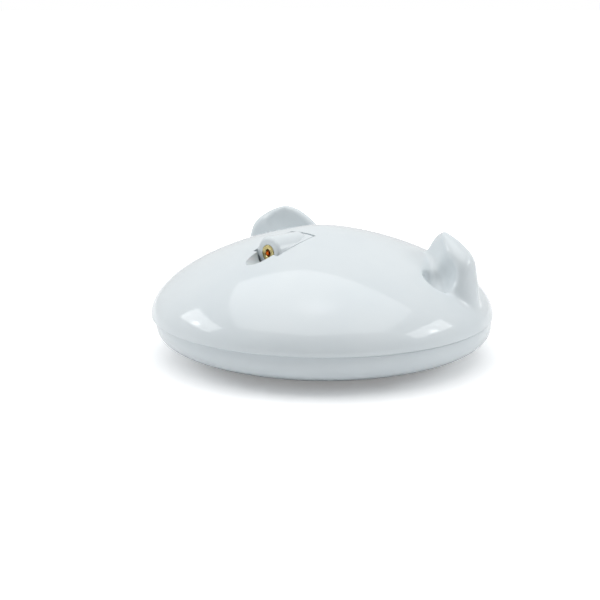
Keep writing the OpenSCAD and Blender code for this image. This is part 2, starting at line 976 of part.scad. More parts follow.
module drive_motor() {
  color([0.75, 0.76, 0.78])
    at_xy(motor_axis)
      difference() {
        union() {
          translate([0, 0, motor_z])
            rotate_extrude()
              polygon([[0, 0], [motor_r, 0], [motor_r, motor_h - 0.8], [motor_r - 0.8, motor_h],
                [4, motor_h], [4, motor_h + 0.8], [0, motor_h + 0.8]]);
          translate([0, 0, motor_z - 1])
            cylinder(r = 3, h = 2);
        }
        translate([0, 0, motor_z - 2])
          cylinder(r = shaft_r + 0.04, h = first_wheel_z + 12 - motor_z + 2);
        for (place = motor_screw_places)
          at_xy(place - motor_axis, motor_z - 1)
            cylinder(r = 1.02, h = 4);
      }
}

module motor_screws() {
  color("silver")
    for (place = motor_screw_places)
      at_xy(place, plate_z)
        screw_up(1, 4.8, 1.8, 1.2);
}

wire_r = 0.6;
motor_lug = [7.5, 6.5];
laser_lead_start = 17; // from the brass ring back to where the leads begin
board_top = board_z + board_h;
motor_back = motor_z + motor_h;

module motor_leads() {
  color([0.75, 0.15, 0.12])
    for (side = [-1, 1])
      wire([[motor_axis[0] + side * motor_lug[0], motor_axis[1] - motor_lug[1], motor_back],
        [motor_axis[0] + side * motor_lug[0], motor_axis[1] - motor_lug[1], motor_back + 1.6],
        [side * 13.5, motor_axis[1] - motor_lug[1] + 1.3, motor_back + 1.6],
        [side * 13.5, -33, motor_back + 1.4],
        [side * 13, -8, motor_back + 0.8],
        [side * 5, 33, board_top + 3],
        [side * 5, 33, board_top]], wire_r);
}

module battery_leads() {
  color([0.15, 0.15, 0.16])
    for (side = [-1, 1])
      wire([[side * (box_half_x + box_wall + 1), cells_y, box_top - 3],
        [side * (box_half_x + box_wall + 1), cells_y, board_top + 2],
        [side * (board_half_x - 2), cells_y, board_top + 2],
        [side * (board_half_x - 2), cells_y, board_top]], wire_r);
}

module laser_leads() {
  color([0.7, 0.12, 0.1])
    for (side = [-1, 1])
      wire([[side * 0.8, -laser_y + laser_lead_start, laser_z],
        [side * 0.8, -8, laser_z - 0.5],
        [side * 1.5, 12, 40],
        [side * 1.5, 31.5, board_top + 3],
        [side * 1.5, 31.5, board_top]], 0.5);
}

turntable_foot();
foot_pad();
thrust_ring();
hub_gear();
hub_washer();
hub_screw();
lower_shell();
top_shell();
case_screws();
battery_door();
battery_door_screw();
battery_cells();
battery_springs();
battery_contacts();
circuit_board();
board_screws();
tact_switch();
control_chip();
smoothing_capacitor();
gear_plate();
gear_plate_screws();
gear_axles();
intermediate_gear();
reduction_gear();
motor_pinion();
motor_shaft();
drive_motor();
motor_screws();
motor_leads();
battery_leads();
laser_leads();
laser_hood();
laser_barrel();
laser_lens();
laser_diode();
diode_board();
hood_pivot_pin();
pivot_clip();
power_button();
switch_plunger();
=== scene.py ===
import json
import math

import bpy
import numpy as np
from mathutils import Matrix, Vector


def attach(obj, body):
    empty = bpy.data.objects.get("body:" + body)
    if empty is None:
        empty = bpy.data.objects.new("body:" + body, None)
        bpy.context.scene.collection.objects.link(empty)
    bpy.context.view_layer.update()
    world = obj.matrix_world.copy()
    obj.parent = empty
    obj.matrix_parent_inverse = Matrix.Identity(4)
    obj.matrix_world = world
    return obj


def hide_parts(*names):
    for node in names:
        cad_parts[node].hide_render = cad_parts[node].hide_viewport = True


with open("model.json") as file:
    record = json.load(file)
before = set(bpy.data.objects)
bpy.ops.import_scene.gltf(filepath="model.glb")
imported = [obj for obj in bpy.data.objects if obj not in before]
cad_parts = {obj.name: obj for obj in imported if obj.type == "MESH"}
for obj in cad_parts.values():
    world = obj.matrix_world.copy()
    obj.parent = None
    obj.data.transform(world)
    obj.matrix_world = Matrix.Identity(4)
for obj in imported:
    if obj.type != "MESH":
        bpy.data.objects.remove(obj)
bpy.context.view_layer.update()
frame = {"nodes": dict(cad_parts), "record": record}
print("frame loaded:", len(frame["nodes"]), "nodes")

mm = 0.001


# Small helpers for modelling

def deselectAll():
    bpy.ops.object.select_all(action="DESELECT")


def editMode():
    bpy.ops.object.mode_set(mode="EDIT")


def objectMode():
    bpy.ops.object.mode_set(mode="OBJECT")


def newPiece(name):
    piece = bpy.context.object
    piece.name = name
    piece.data.name = name
    return piece


def selectOnly(piece):
    deselectAll()
    piece.select_set(True)
    bpy.context.view_layer.objects.active = piece


def readPoints(piece):
    # Vertex places in millimetres
    co = np.empty(len(piece.data.vertices) * 3, np.float32)
    piece.data.vertices.foreach_get("co", co)
    return co.reshape(-1, 3).astype(float) / mm


def writePoints(piece, points):
    piece.data.vertices.foreach_set("co", (points * mm).astype(np.float32).ravel())
    piece.data.update()


def applyModifier(piece, modifier):
    selectOnly(piece)
    bpy.ops.object.modifier_apply(modifier=modifier.name)


def combine(piece, tool, operation="DIFFERENCE"):
    # Boolean of two closed meshes; the tool is used up
    modifier = piece.modifiers.new("combine", "BOOLEAN")
    modifier.operation = operation
    modifier.solver = "MANIFOLD"
    modifier.object = tool
    applyModifier(piece, modifier)
    bpy.data.objects.remove(tool)
    return piece


def bevelEdges(piece, width, segments=3, angle=30):
    modifier = piece.modifiers.new("bevel", "BEVEL")
    modifier.width = width * mm
    modifier.segments = segments
    modifier.limit_method = "ANGLE"
    modifier.angle_limit = math.radians(angle)
    modifier.harden_normals = False
    applyModifier(piece, modifier)


def smoothShade(piece, angle=32):
    selectOnly(piece)
    bpy.ops.object.shade_smooth_by_angle(angle=math.radians(angle))


def turned(name, outline, steps=96, base=(0, 0, 0), axis="Z"):
    # A piece turned on a lathe: outline holds (radius, place along the axis) in mm
    def place(point):
        if axis == "Z":
            return Vector((base[0] + point[0], base[1], base[2] + point[1])) * mm
        if axis == "Y":
            return Vector((base[0] + point[0], base[1] + point[1], base[2])) * mm
        return Vector((base[0] + point[1], base[1], base[2] + point[0])) * mm

    deselectAll()
    bpy.ops.mesh.primitive_plane_add(size=0.01)
    piece = newPiece(name)
    editMode()
    bpy.ops.mesh.select_mode(type="VERT")
    bpy.ops.mesh.merge(type="CENTER")
    bpy.ops.transform.translate(value=place(outline[0]))
    for here, there in zip(outline, outline[1:]):
        step = place(there) - place(here)
        bpy.ops.mesh.extrude_vertices_move(TRANSFORM_OT_translate={"value": step})
    bpy.ops.mesh.select_all(action="SELECT")
    direction = {"X": (1, 0, 0), "Y": (0, 1, 0), "Z": (0, 0, 1)}[axis]
    bpy.ops.mesh.spin(steps=steps, angle=2 * math.pi, center=Vector(base) * mm, axis=direction)
    bpy.ops.mesh.select_all(action="SELECT")
    bpy.ops.mesh.remove_doubles(threshold=2e-6)
    bpy.ops.mesh.normals_make_consistent(inside=False)
    objectMode()
    return piece


def box(name, low, high):
    # A block between two corners, in mm
    deselectAll()
    low, high = Vector(low) * mm, Vector(high) * mm
    bpy.ops.mesh.primitive_cube_add(size=1, location=(low + high) / 2, scale=high - low)
    bpy.ops.object.transform_apply(location=True, rotation=True, scale=True)
    return newPiece(name)


def rod(name, centre, radius, low, high, steps=64):
    # An upright cylinder at centre (x, y), in mm
    deselectAll()
    bpy.ops.mesh.primitive_cylinder_add(vertices=steps, radius=radius * mm, depth=(high - low) * mm,
        location=(centre[0] * mm, centre[1] * mm, (low + high) / 2 * mm))
    bpy.ops.object.transform_apply(location=True, rotation=True, scale=True)
    return newPiece(name)


def ball(name, centre, halves, tilt=None, segments=64):
    # An ellipsoid with three half axes, in mm, turned by a matrix
    deselectAll()
    bpy.ops.mesh.primitive_uv_sphere_add(segments=segments, ring_count=segments // 2, radius=mm)
    piece = newPiece(name)
    turn = tilt if tilt else Matrix.Identity(4)
    piece.data.transform(Matrix.Translation(Vector(centre) * mm) @ turn @ Matrix.Diagonal((*halves, 1)))
    return piece


def arcPoints(centre, radius, start, end, count):
    # Points of an arc in an outline, angles in degrees from the outward direction
    angles = [math.radians(start + (end - start) * i / count) for i in range(count + 1)]
    return [(centre[0] + radius * math.cos(a), centre[1] + radius * math.sin(a)) for a in angles]


# Materials

def hexColour(text):
    # sRGB hex to linear
    parts = [int(text[i:i + 2], 16) / 255 for i in (1, 3, 5)]
    linear = [c / 12.92 if c <= 0.04045 else ((c + 0.055) / 1.055) ** 2.4 for c in parts]
    return (*linear, 1)


def addNode(material, kind, inputs=None, **settings):
    # A shader node of a material or of the world, with its settings, values and links
    node = material.node_tree.nodes.new("ShaderNode" + kind)
    for key, value in settings.items():
        setattr(node, key, value)
    for key, value in (inputs or {}).items():
        socket = node.inputs[key]
        if isinstance(value, bpy.types.NodeSocket):
            material.node_tree.links.new(value, socket)
        else:
            socket.default_value = value
    return node


def newMaterial(name):
    material = bpy.data.materials.new(name)
    material.use_nodes = True
    material.node_tree.nodes.clear()
    return material


def finishMaterial(material, shader):
    addNode(material, "OutputMaterial", {"Surface": shader.outputs[0]})
    return material


def millimetres(material):
    # Object coordinates, one unit to a millimetre
    place = addNode(material, "TexCoord")
    scaled = addNode(material, "VectorMath", {0: place.outputs["Object"]}, operation="SCALE")
    scaled.inputs["Scale"].default_value = 1 / mm
    return scaled.outputs["Vector"]


def noise(material, place, size, detail=2.0, roughness=0.5):
    # Noise whose blobs are about size mm across
    node = addNode(material, "TexNoise", {"Vector": place, "Scale": 1 / size, "Detail": detail,
        "Roughness": roughness})
    return node.outputs["Fac"]


def between(material, value, low, high, start=0.3, end=0.7, shape="LINEAR"):
    # Runs from low to high while value runs from start to end
    node = addNode(material, "MapRange", {"Value": value, "From Min": start, "From Max": end,
        "To Min": low, "To Max": high}, interpolation_type=shape)
    return node.outputs["Result"]


def blendColours(material, factor, first, second):
    node = addNode(material, "Mix", data_type="RGBA")
    material.node_tree.links.new(factor, node.inputs[0])
    node.inputs[6].default_value = hexColour(first)
    node.inputs[7].default_value = hexColour(second)
    return node.outputs[2]


def bumped(material, height, depth, normal=None):
    # depth in mm is the real height of the relief
    inputs = {"Height": height, "Distance": depth * mm, "Strength": 1.0}
    if normal is not None:
        inputs["Normal"] = normal
    return addNode(material, "Bump", inputs).outputs["Normal"]


def laserAxisDistance(material, place):
    # How far a point of the laser module lies from its axis
    axis = (0, 0, laserValues["height"])
    centred = addNode(material, "VectorMath", {0: place, 1: axis}, operation="SUBTRACT")
    across = {0: centred.outputs["Vector"], 1: (1, 0, 1)}
    flat = addNode(material, "VectorMath", across, operation="MULTIPLY")
    return addNode(material, "VectorMath", {0: flat.outputs["Vector"]}, operation="LENGTH").outputs["Value"]


plasticFinish = {
    "colour": "#DAE1E4", "shade": "#D5DDE1",   # cool white ABS, clouded very faintly
    "cloud": 28, "smudge": 9,                  # mm across
    "peel": 3.2, "peelDepth": 0.0012,          # mm between the soft waves left by the mould
    "grain": 0.35, "grainDepth": 0.00012,
    "gloss": 0.05, "smudged": 0.1,
}


def glossWhiteAbs():
    # ABS from a polished mould: a clear mirror over white, waved a little by orange peel
    v = plasticFinish
    material = newMaterial("glossWhiteAbs")
    place = millimetres(material)
    cloud = noise(material, place, v["cloud"], 3)
    tone = blendColours(material, between(material, cloud, 0, 1), v["colour"], v["shade"])
    smudge = noise(material, place, v["smudge"], 5, 0.6)
    gloss = between(material, smudge, v["gloss"], v["smudged"], 0.45, 0.75)
    peel = noise(material, place, v["peel"], 1)
    grain = noise(material, place, v["grain"], 2)
    relief = bumped(material, peel, v["peelDepth"])
    relief = bumped(material, grain, v["grainDepth"], relief)
    shader = addNode(material, "BsdfPrincipled", {"Base Color": tone, "Roughness": gloss, "Normal": relief,
        "IOR": 1.53})
    return finishMaterial(material, shader)


def satinGreyAbs():
    # ABS from a spark-eroded mould: fine even grain that breaks up the shine
    material = newMaterial("satinGreyAbs")
    place = millimetres(material)
    grain = noise(material, place, 0.45, 3)
    tone = blendColours(material, grain, "#C6CBD0", "#BEC3C9")
    relief = bumped(material, grain, 0.012)
    gloss = between(material, noise(material, place, 6), 0.38, 0.5)
    shader = addNode(material, "BsdfPrincipled", {"Base Color": tone, "Roughness": gloss, "Normal": relief,
        "IOR": 1.53})
    return finishMaterial(material, shader)


def mouldedRubber():
    # Soft black TPE: dull, with dust in its fine grain
    material = newMaterial("mouldedRubber")
    place = millimetres(material)
    dust = noise(material, place, 4, 6, 0.7)
    tone = blendColours(material, between(material, dust, 0, 1, 0.5, 0.8), "#232426", "#3A3A3B")
    relief = bumped(material, noise(material, place, 0.3, 3), 0.02)
    gloss = between(material, dust, 0.62, 0.82)
    shader = addNode(material, "BsdfPrincipled", {"Base Color": tone, "Roughness": gloss, "Normal": relief,
        "IOR": 1.5})
    return finishMaterial(material, shader)


def naturalAcetal():
    # Gear acetal: milky, waxy, with faint flow marks
    material = newMaterial("naturalAcetal")
    place = millimetres(material)
    flow = noise(material, place, 3, 4)
    tone = blendColours(material, flow, "#F0ECDD", "#E6E1CE")
    relief = bumped(material, noise(material, place, 0.6, 2), 0.004)
    gloss = between(material, flow, 0.3, 0.42)
    shader = addNode(material, "BsdfPrincipled", {"Base Color": tone, "Roughness": gloss, "Normal": relief,
        "IOR": 1.48, "Subsurface Weight": 0.15, "Subsurface Scale": 0.5 * mm})
    return finishMaterial(material, shader)


def mouldedGreyPlate():
    # Glass-filled plastic of the gear plate: greyer, with short fibres near the surface
    material = newMaterial("mouldedGreyPlate")
    place = millimetres(material)
    fibre = addNode(material, "TexNoise", {"Vector": place, "Scale": 2.5, "Detail": 4.0, "Distortion": 1.5})
    tone = blendColours(material, fibre.outputs["Fac"], "#AEB3B8", "#9BA1A7")
    relief = bumped(material, fibre.outputs["Fac"], 0.012)
    gloss = between(material, fibre.outputs["Fac"], 0.42, 0.58)
    shader = addNode(material, "BsdfPrincipled", {"Base Color": tone, "Roughness": gloss, "Normal": relief,
        "IOR": 1.53})
    return finishMaterial(material, shader)


def zincPlatedSteel():
    # Bright zinc: bluish metal with cloudy patches and fine wear
    material = newMaterial("zincPlatedSteel")
    place = millimetres(material)
    cloud = noise(material, place, 1.5, 4)
    tone = blendColours(material, cloud, "#C9CED3", "#AEB6BE")
    scratch = addNode(material, "TexNoise", {"Vector": place, "Scale": 8.0, "Detail": 2.0,
        "Distortion": 3.0})
    relief = bumped(material, scratch.outputs["Fac"], 0.002)
    gloss = between(material, cloud, 0.22, 0.38)
    shader = addNode(material, "BsdfPrincipled", {"Base Color": tone, "Roughness": gloss, "Normal": relief,
        "Metallic": 1.0})
    return finishMaterial(material, shader)


def turnedBrass():
    # Bar brass from the lathe: warm yellow with fine rings round its axis
    material = newMaterial("turnedBrass")
    place = millimetres(material)
    ringPitch = 0.16
    wave = addNode(material, "Math", {0: laserAxisDistance(material, place), 1: 2 * math.pi / ringPitch},
        operation="MULTIPLY")
    rings = addNode(material, "Math", {0: wave.outputs["Value"]}, operation="SINE")
    ringFac = between(material, rings.outputs["Value"], 0, 1, -1, 1)
    tone = blendColours(material, noise(material, place, 0.8, 3), "#DDD09A", "#B9AB70")
    relief = bumped(material, ringFac, 0.004)
    gloss = between(material, noise(material, place, 0.5, 3), 0.18, 0.32)
    shader = addNode(material, "BsdfPrincipled", {"Base Color": tone, "Roughness": gloss, "Normal": relief,
        "Metallic": 1.0})
    return finishMaterial(material, shader)


def glowingRedLens():
    # Clear acrylic in front of the lit diode: deep red with a hot middle
    material = newMaterial("glowingRedLens")
    place = millimetres(material)
    hot = between(material, laserAxisDistance(material, place), 1, 0, 0.25, 1.15)
    tone = blendColours(material, hot, "#3A0503", "#FF7A30")
    power = between(material, hot, 0.25, 1.6, 0, 1)
    relief = bumped(material, noise(material, place, 0.5, 2), 0.002)
    shader = addNode(material, "BsdfPrincipled", {"Base Color": hexColour("#4A0805"), "Roughness": 0.06,
        "IOR": 1.49, "Normal": relief, "Emission Color": tone, "Emission Strength": power})
    return finishMaterial(material, shader)


def greenSolderMask():
    # Fibreglass board: green lacquer over copper tracks, weave just visible
    material = newMaterial("greenSolderMask")
    place = millimetres(material)
    tracks = addNode(material, "TexBrick", {"Vector": place, "Scale": 0.22, "Mortar Size": 0.06,
        "Color1": hexColour("#1E5B34"), "Color2": hexColour("#235F38"), "Mortar": hexColour("#3C8450")})
    weave = addNode(material, "TexChecker", {"Vector": place, "Scale": 2.2})
    relief = bumped(material, weave.outputs["Fac"], 0.006)
    relief = bumped(material, tracks.outputs["Fac"], 0.03, relief)
    shader = addNode(material, "BsdfPrincipled", {"Base Color": tracks.outputs["Color"], "Roughness": 0.3,
        "Normal": relief, "IOR": 1.55})
    return finishMaterial(material, shader)


def blackEpoxy():
    # Moulded chip and switch bodies: matt black with fine pits
    material = newMaterial("blackEpoxy")
    place = millimetres(material)
    pits = noise(material, place, 0.25, 3)
    tone = blendColours(material, pits, "#17181A", "#232427")
    relief = bumped(material, pits, 0.01)
    gloss = between(material, noise(material, place, 2), 0.42, 0.6)
    shader = addNode(material, "BsdfPrincipled", {"Base Color": tone, "Roughness": gloss, "Normal": relief})
    return finishMaterial(material, shader)


def shrinkSleeve(name, colour, shade, band=None):
    # Shrunk PVC film: thin shiny skin with fine wrinkles, and a plain band on the cells
    material = newMaterial(name)
    place = millimetres(material)
    tone = blendColours(material, noise(material, place, 5, 3), colour, shade)
    if band:
        split = addNode(material, "SeparateXYZ", {"Vector": place})
        side = between(material, split.outputs["X"], 0, 1, 11.8, 12.0)
        mixed = addNode(material, "Mix", data_type="RGBA")
        material.node_tree.links.new(side, mixed.inputs[0])
        material.node_tree.links.new(tone, mixed.inputs[6])
        mixed.inputs[7].default_value = hexColour(band)
        tone = mixed.outputs[2]
    wrinkle = addNode(material, "TexNoise", {"Vector": place, "Scale": 0.8, "Detail": 3.0,
        "Distortion": 0.8})
    relief = bumped(material, wrinkle.outputs["Fac"], 0.02)
    gloss = between(material, wrinkle.outputs["Fac"], 0.2, 0.34)
    shader = addNode(material, "BsdfPrincipled", {"Base Color": tone, "Roughness": gloss, "Normal": relief,
        "IOR": 1.54})
    return finishMaterial(material, shader)


def wireInsulation(name, colour, shade):
    # Extruded PVC: dull sheen with faint lengthwise bands
    material = newMaterial(name)
    place = millimetres(material)
    band = noise(material, place, 1.2, 2)
    tone = blendColours(material, band, colour, shade)
    relief = bumped(material, band, 0.01)
    gloss = between(material, band, 0.4, 0.52)
    shader = addNode(material, "BsdfPrincipled", {"Base Color": tone, "Roughness": gloss, "Normal": relief,
        "IOR": 1.54})
    return finishMaterial(material, shader)


# The toy's own shapes. The dome and the ears follow the same rules as the solids do

domeValues = {
    "radius": 71, "noseShift": 1, "base": 17.6, "top": 53.3,   # mm
    "round": 1.45, "crown": 1.07,                              # how square the outline is
    "wall": 2.3, "lip": 0.45, "bottom": 17.15,
    "voxel": 0.8,                                              # face size of the outer skin
}
earValues = {
    "tip": 54.2, "inset": 25.9, "behind": 21.5, "rim": 1.7, "flank": 8, "reach": 17.8, "spread": 0.38,
    "tipRound": 2.2, "flankDrop": 18, "footDrop": 13, "footRun": 9,       # mm down from the tip
    "scoopTurn": 19.5, "scoopTilt": 28, "scoopPlace": (47.5, 27, 40.3), "scoopHalves": (7.8, 5.8, 8),
    "footBlend": 3.5, "lipCrisp": 1.8, "lipSoft": 6.0, "lipTurn": 2.5,
    "softening": 45,           # rounds that even out the ear's edges
}
laserValues = {
    "height": 46, "nose": 31.5, "hoodRadius": 6.6, "hoodLength": 18.4, "hoodHalf": 6.7, "hoodRear": 12.9,
    "barrelRadius": 3.25, "proud": 0.3, "apertureRadius": 1.45, "gap": 0.4, "slotFloor": 36.5,
    "slotFront": -33.1, "slotRear": 1, "beamScoop": (4.6, 12, 5.4), "pivot": (-17, 39.8),
    "frontEdge": 1.6, "rearEdge": 2.4, "flushBase": 44.4, "softEdge": 0.3,
    "fit": 0.02, "leadBore": 1.8, "pinBore": 1.01, "lug": (6, 2.6, 2.4),
}


def domeTerm(p):
    v = domeValues
    out = ((p[:, 0] ** 2 + (p[:, 1] + v["noseShift"]) ** 2) / v["radius"] ** 2) ** (1 / v["round"])
    up = np.maximum(p[:, 2] - v["base"], 0) / (v["top"] - v["base"])
    return out + up ** (2 / v["crown"]) - 1


def levelOut(t, n):
    # Rises with t and levels out at 1, the more sharply the higher n is
    return t / (1 + t ** n) ** (1 / n)


def earTerm(p):
    # Distance in the level plane to an outline round two circles
    v = earValues
    drop = v["tip"] - p[:, 2]
    d = np.maximum(drop, 0.004)
    start, span = v["footDrop"], v["footRun"]
    edge = levelOut(np.sqrt(d / v["tipRound"]), 6)
    bulge = v["rim"] + v["flank"] * levelOut(d / v["flankDrop"], 6) ** 0.9
    out = 1 - (1 - levelOut(d / start, 8)) ** 1.9
    foot = v["spread"] / 2 * (np.hypot(d - start, 4) - np.hypot(d - start - span, 4) + span)
    root = domeValues["radius"] - v["inset"]
    outerX = root + 2.4 + v["reach"] * out - 1.41 * bulge + foot
    outer = np.stack([outerX, v["behind"] - 3 * levelOut(d / start, 3)], 1)
    growth = d ** 0.578
    inner = np.stack([root + 2.5 - 3.3 * growth, v["behind"] + 0.4 + 1.95 * growth], 1)
    outerR = bulge * edge
    innerR = (v["rim"] + 0.1 * d) * edge
    run = inner - outer
    length = np.maximum(np.hypot(run[:, 0], run[:, 1]), 1e-6)
    along = run / length[:, None]
    q = np.stack([np.abs(p[:, 0]), p[:, 1]], 1) - outer
    t = (q * along).sum(1)
    side = np.abs(q[:, 0] * along[:, 1] - q[:, 1] * along[:, 0])
    slope = np.clip((outerR - innerR) / length, -0.999, 0.999)
    level = np.sqrt(1 - slope * slope)
    k = -slope * side + level * t
    far = np.hypot(side, t - length) - innerR
    near = np.hypot(side, t) - outerR
    middle = level * side + slope * t - outerR
    flat = np.where(k < 0, near, np.where(k > level * length, far, middle))
    return flat + np.maximum(-drop, 0)


def scoopPlaces(p):
    # Points in the scoop's own frame
    v = earValues
    turn, tilt = math.radians(v["scoopTurn"]), math.radians(v["scoopTilt"])
    x, y = np.abs(p[:, 0]), p[:, 1]
    a = x * math.cos(turn) - y * math.sin(turn) - v["scoopPlace"][0]
    b = x * math.sin(turn) + y * math.cos(turn) - v["scoopPlace"][1]
    c = p[:, 2] - v["scoopPlace"][2]
    return a * math.cos(tilt) - c * math.sin(tilt), b, a * math.sin(tilt) + c * math.cos(tilt)


def scoopTerm(p):
    u, b, w = scoopPlaces(p)
    halves = earValues["scoopHalves"]
    return np.sqrt((u / halves[0]) ** 2 + (b / halves[1]) ** 2 + (w / halves[2]) ** 2) - 1


def softLeast(a, b, reach):
    h = np.maximum(reach - np.abs(a - b), 0) / reach
    return np.minimum(a, b) - h ** 3 * reach / 6


def shellTerms(p):
    return np.stack([domeTerm(p), earTerm(p), scoopTerm(p)])


def shellField(p):
    # Signed distance to the blended outer surface, and its direction
    step = 0.02
    shifts = [np.array(s) * step for s in ((1, 0, 0), (0, 1, 0), (0, 0, 1))]
    ahead = [shellTerms(p + s) for s in shifts]
    behind = [shellTerms(p - s) for s in shifts]
    slopes = np.sqrt(sum(((a - b) / (2 * step)) ** 2 for a, b in zip(ahead, behind)))
    slopes = np.maximum(slopes, 1e-3)
    v = earValues
    soft = np.clip((scoopPlaces(p)[1] + v["lipTurn"]) / (2 * v["lipTurn"]), 0, 1)
    lip = v["lipCrisp"] + (v["lipSoft"] - v["lipCrisp"]) * soft * soft * (3 - 2 * soft)

    def blended(terms):
        dome, ear, scoop = terms / slopes
        return -softLeast(-softLeast(dome, ear, v["footBlend"]), scoop, lip)

    value = blended(shellTerms(p))
    direction = np.stack([blended(a) - blended(b) for a, b in zip(ahead, behind)], 1) / (2 * step)
    size = np.maximum(np.linalg.norm(direction, axis=1), 1e-3)
    return value, direction, size


def neighbourMean(points, edges):
    total = np.zeros_like(points)
    count = np.zeros(len(points))
    for a, b in (edges.T, edges.T[::-1]):
        np.add.at(total, a, points[b])
        np.add.at(count, a, 1)
    return total / np.maximum(count, 1)[:, None]


def readEdges(piece):
    edges = np.empty(len(piece.data.edges) * 2, np.int64)
    piece.data.edges.foreach_get("vertices", edges)
    return edges.reshape(-1, 2)


def nearEars(places, inner, front, rear, low):
    # Which places lie in an upright block round either ear
    x, y, z = np.abs(places[:, 0]), places[:, 1], places[:, 2]
    return (x > inner) & (y > front) & (y < rear) & (z > low)


def settleOnShell(piece, rounds, relax):
    # Moves the vertices onto the outer surface, evening them out along it
    points, edges = readPoints(piece), readEdges(piece)
    live = points[:, 2] > domeValues["bottom"] - 2
    for turn in range(rounds):
        if turn < relax:
            shift = 0.5 * (neighbourMean(points, edges) - points)
            points[live] += shift[live]
        for _ in range(2):
            value, direction, size = shellField(points[live])
            travel = np.clip(value / size, -1, 1)
            points[live] -= direction / size[:, None] * travel[:, None]
    writePoints(piece, points)


def softenEars(piece, rounds):
    # Rounds the ears where they stand above the dome
    points, edges = readPoints(piece), readEdges(piece)
    edges = edges[nearEars(points, 22, 0, 44, 24)[edges].all(1)]
    used, local = np.unique(edges, return_inverse=True)
    local = local.reshape(-1, 2)
    part = points[used]
    share = 0.5 * np.clip((domeTerm(part) * 22 - 0.6) / 2, 0, 1)[:, None]
    for _ in range(rounds):
        part += share * (neighbourMean(part, local) - part)
    points[used] = part
    writePoints(piece, points)


def domeOutline(wall=0.0, count=100):
    # (radius, height) pairs from the top down to the widest edge
    v = domeValues
    pairs = []
    for i in range(count + 1):
        a = math.pi / 2 * i / count
        radius = (v["radius"] - wall) * math.sin(a) ** v["round"]
        height = v["base"] + (v["top"] - wall - v["base"]) * max(math.cos(a), 0) ** v["crown"]
        pairs.append((radius, height))
    return pairs


def liftedForm():
    # The dome as a fine polar net, lifted to the highest point of dome and ears
    v = domeValues
    outline = domeOutline(count=108) + [(v["radius"], 15), (v["radius"], 13), (0, 13)]
    piece = turned("topShell", outline, steps=400, base=(0, -v["noseShift"], 0))
    points = readPoints(piece)
    near = nearEars(points, 22, -2, 44, 20)
    low = points[near].copy()
    height = np.full(len(low), -1.0)
    for level in np.arange(earValues["tip"] + 0.4, 22, -0.25):
        test = low.copy()
        test[:, 2] = level
        dome, ear, scoop = shellTerms(test)
        inside = (np.minimum(dome, ear) < 0) & (scoop > 0)
        height = np.where((height < 0) & inside, level, height)
    found = height > 0
    low[found, 2] = height[found] + 0.1
    points[near] = low
    writePoints(piece, points)
    return piece


def refineEars(piece):
    # Finer faces round the ears
    selectOnly(piece)
    editMode()
    bpy.ops.mesh.select_mode(type="FACE")
    bpy.ops.mesh.select_all(action="DESELECT")
    objectMode()
    centres = np.empty(len(piece.data.polygons) * 3, np.float32)
    piece.data.polygons.foreach_get("center", centres)
    piece.data.polygons.foreach_set("select", nearEars(centres.reshape(-1, 3) / mm, 25, 3, 40, 26))
    editMode()
    bpy.ops.mesh.subdivide(number_cuts=1)
    objectMode()


def roundLip(piece):
    # Cut level with the widest edge, then a small rounded lip down to the joint
    v = domeValues
    selectOnly(piece)
    editMode()
    bpy.ops.mesh.select_all(action="SELECT")
    bpy.ops.mesh.bisect(plane_co=(0, 0, (v["base"] + 0.02) * mm), plane_no=(0, 0, 1), clear_inner=True)
    bpy.ops.mesh.select_mode(type="EDGE")
    bpy.ops.mesh.select_all(action="DESELECT")
    bpy.ops.mesh.select_non_manifold(extend=False, use_wire=False, use_multi_face=False,
        use_non_contiguous=False, use_verts=False)
    steps = 5
    reach, drop = 0.0, 0.0
    for i in range(1, steps + 1):
        a = math.pi / 2 * i / steps
        nextReach, nextDrop = v["lip"] * (1 - math.cos(a)), (v["lip"] + 0.02) * math.sin(a)
        scale = (v["radius"] - nextReach) / (v["radius"] - reach)
        bpy.ops.mesh.extrude_edges_move(TRANSFORM_OT_translate={"value": (0, 0, -(nextDrop - drop) * mm)})
        bpy.ops.transform.resize(value=(scale, scale, 1), center_override=(0, -v["noseShift"] * mm, 0))
        reach, drop = nextReach, nextDrop
    bpy.ops.mesh.edge_face_add()
    bpy.ops.mesh.select_all(action="SELECT")
    bpy.ops.mesh.normals_make_consistent(inside=False)
    objectMode()


def laserSlot(grow=0.0, top=70):
    # The slot in which the laser tube tilts, and the hollow that frees its beam
    h = laserValues
    half, rear = h["hoodHalf"] + h["gap"] + grow, -h["hoodRear"] + h["slotRear"] + grow
    front = h["slotFront"]
    return (box("slot", (-half, front - grow, h["slotFloor"] - grow), (half, rear, top)),
        ball("beamScoop", (0, front, h["height"]), [s + grow for s in h["beamScoop"]]))


def shellHollow():
    # The room inside, less the walls and bosses that stand in it
    v, b, c = domeValues, buttonValues, shellCuts
    floor = v["bottom"] - 3
    outline = [(0, floor), (v["radius"] - v["wall"], floor)] + domeOutline(v["wall"], 52)[::-1]
    inside = turned("hollow", outline, steps=112, base=(0, -v["noseShift"], 0))
    for tool in laserSlot(c["slotWall"], v["top"] + 5):
        combine(inside, tool)
    for side in (-1, 1):
        combine(inside, scoopBall(side, v["wall"]))
    for place in caseScrewPlaces:
        combine(inside, rod("boss", place, c["bossRadius"], c["bossLow"], c["bossTop"]))
    combine(inside, rod("collar", (0, b["place"]), b["radius"] + c["collarWall"], c["collarLow"], 60))
    return inside


shellCuts = {
    "slotWall": 2.2, "bossRadius": 3.2, "bossLow": 14.7, "bossTop": 45,   # mm
    "collarWall": 1.7, "collarLow": 35, "buttonGap": 0.1,
    "pinBore": 1.03, "pilot": 1.32, "pilotTop": 24,
}


